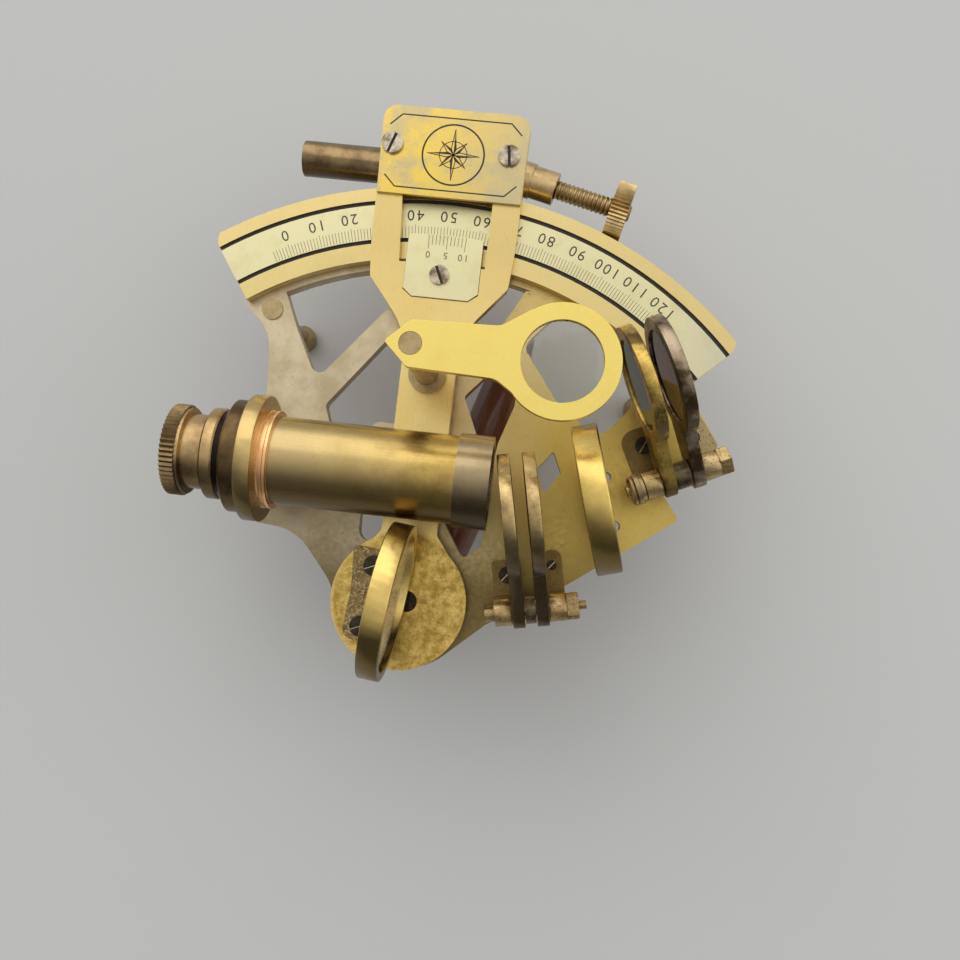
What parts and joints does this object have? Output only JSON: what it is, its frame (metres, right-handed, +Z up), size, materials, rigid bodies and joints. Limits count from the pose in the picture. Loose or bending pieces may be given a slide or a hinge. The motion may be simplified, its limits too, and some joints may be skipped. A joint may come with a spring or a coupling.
{
  "type": "sextant",
  "caption": "Small brass desk sextant: cast frame with silvered arc, swinging index arm with mirror and vernier, telescope, shades, magnifier and tangent screw.",
  "frame": {"origin": "on the index arm's pivot axis, in the plane that the three feet rest on", "axes": "+X along the telescope from its eyepiece to its objective, +Y along the index arm at rest, +Z up out of the limb's graduated face"},
  "size_m": [0.0933, 0.098, 0.0592],
  "materials": {
    "polished_brass": "polished, finely brushed",
    "aged_brass": "dulled and speckled with age",
    "cast_frame": "rough casting, dull",
    "silvered": "silvered, finely brushed",
    "dark_steel": "blued and darkened",
    "rosewood": "oiled rosewood",
    "clear_glass": "polished",
    "mirror_glass": "silvered glass",
    "red_glass": "deep red",
    "green_glass": "deep green"
  },
  "bodies": {
    "frame": {"frame_plate": "cast_frame", "limb_arc": "polished_brass", "scale_strip": "silvered", "left_foot": "aged_brass", "right_foot": "aged_brass", "pivot_foot": "aged_brass", "pivot_bush": "polished_brass", "handle_grip": "rosewood", "handle_pillars": "aged_brass", "frame_screws": "dark_steel", "telescope_bracket": "polished_brass", "telescope_tube": "polished_brass", "lock_ring": "dark_steel", "draw_ferrule": "aged_brass", "objective_ring": "aged_brass", "objective_lens": "clear_glass", "horizon_bracket": "aged_brass", "horizon_ring": "polished_brass", "horizon_glass": "mirror_glass", "index_shade_bracket": "aged_brass", "index_shade_pin": "polished_brass", "index_shade_nut": "polished_brass", "horizon_shade_bracket": "aged_brass", "horizon_shade_pin": "aged_brass", "horizon_shade_nut": "aged_brass", "shade_washers": "dark_steel", "bracket_screws": "dark_steel"},
    "eyepiece": {"eyepiece_tube": "aged_brass", "eyepiece_cap": "polished_brass", "eyepiece_lens": "clear_glass"},
    "arm": {"index_arm": "polished_brass", "index_axle": "dark_steel", "axle_nut": "polished_brass", "index_mirror_base": "aged_brass", "index_mirror_ring": "polished_brass", "index_mirror_glass": "mirror_glass", "index_mirror_screws": "dark_steel", "vernier_plate": "silvered", "vernier_screw": "aged_brass", "cover_plate": "polished_brass", "cover_screws": "aged_brass", "magnifier_post": "aged_brass", "spring_housing": "aged_brass", "screw_housing": "aged_brass", "clamp_carriage": "aged_brass", "clamp_jaw": "aged_brass"},
    "reading_lens": {"magnifier_arm": "polished_brass", "magnifier_lens": "clear_glass"},
    "fine_screw": {"tangent_screw": "aged_brass", "tangent_knob": "aged_brass"},
    "locking_screw": {"clamp_screw": "polished_brass"},
    "first_index_shade": {"index_shade_1": "aged_brass", "index_shade_1_glass": "red_glass"},
    "second_index_shade": {"index_shade_2": "aged_brass", "index_shade_2_glass": "green_glass"},
    "first_horizon_shade": {"horizon_shade_1": "aged_brass", "horizon_shade_1_glass": "green_glass"},
    "second_horizon_shade": {"horizon_shade_2": "aged_brass", "horizon_shade_2_glass": "red_glass"},
    "friction_knob": {"horizon_shade_knob": "aged_brass"}
  },
  "joints": [
    {"name": "index_arm_swing", "type": "hinge", "parent": "frame", "child": "arm", "pos_m": [0, 0, 0.028], "axis": [0, 0, 1], "range_deg": [-35.2, 24.8]},
    {"name": "reading_lens_swing", "type": "hinge", "parent": "arm", "child": "reading_lens", "pos_m": [0, 0.039, 0.0577], "axis": [0, 0, 1], "range_deg": [-30, 100]},
    {"name": "fine_screw_turn", "type": "hinge", "parent": "arm", "child": "fine_screw", "pos_m": [0.0132, 0.0773, 0.0252], "axis": [0.9736, -0.2284, 0], "continuous": true},
    {"name": "clamp_screw_turn", "type": "hinge", "parent": "arm", "child": "locking_screw", "pos_m": [0, 0.0794, 0.022], "axis": [0, 0, 1], "range_deg": [-180, 90]},
    {"name": "eyepiece_draw", "type": "slide", "parent": "frame", "child": "eyepiece", "axis": [-1, 0, 0], "range_m": [-0.003, 0.006]},
    {"name": "first_index_shade_swing", "type": "hinge", "parent": "frame", "child": "first_index_shade", "pos_m": [0.0175, 0.0005, 0.036], "axis": [0.9789, 0.2045, 0], "range_deg": [0, 115]},
    {"name": "second_index_shade_swing", "type": "hinge", "parent": "frame", "child": "second_index_shade", "pos_m": [0.0175, 0.0005, 0.036], "axis": [0.9789, 0.2045, 0], "range_deg": [0, 115]},
    {"name": "first_horizon_shade_swing", "type": "hinge", "parent": "frame", "child": "first_horizon_shade", "pos_m": [0.0398, 0.02425, 0.0346], "axis": [0.9085, 0.4179, 0], "range_deg": [0, 115]},
    {"name": "second_horizon_shade_swing", "type": "hinge", "parent": "frame", "child": "second_horizon_shade", "pos_m": [0.0398, 0.02425, 0.0346], "axis": [0.9085, 0.4179, 0], "range_deg": [0, 115]},
    {"name": "friction_knob_turn", "type": "hinge", "parent": "frame", "child": "friction_knob", "pos_m": [0.0398, 0.02425, 0.0346], "axis": [0.9085, 0.4179, 0], "range_deg": [-180, 180]}
  ]
}
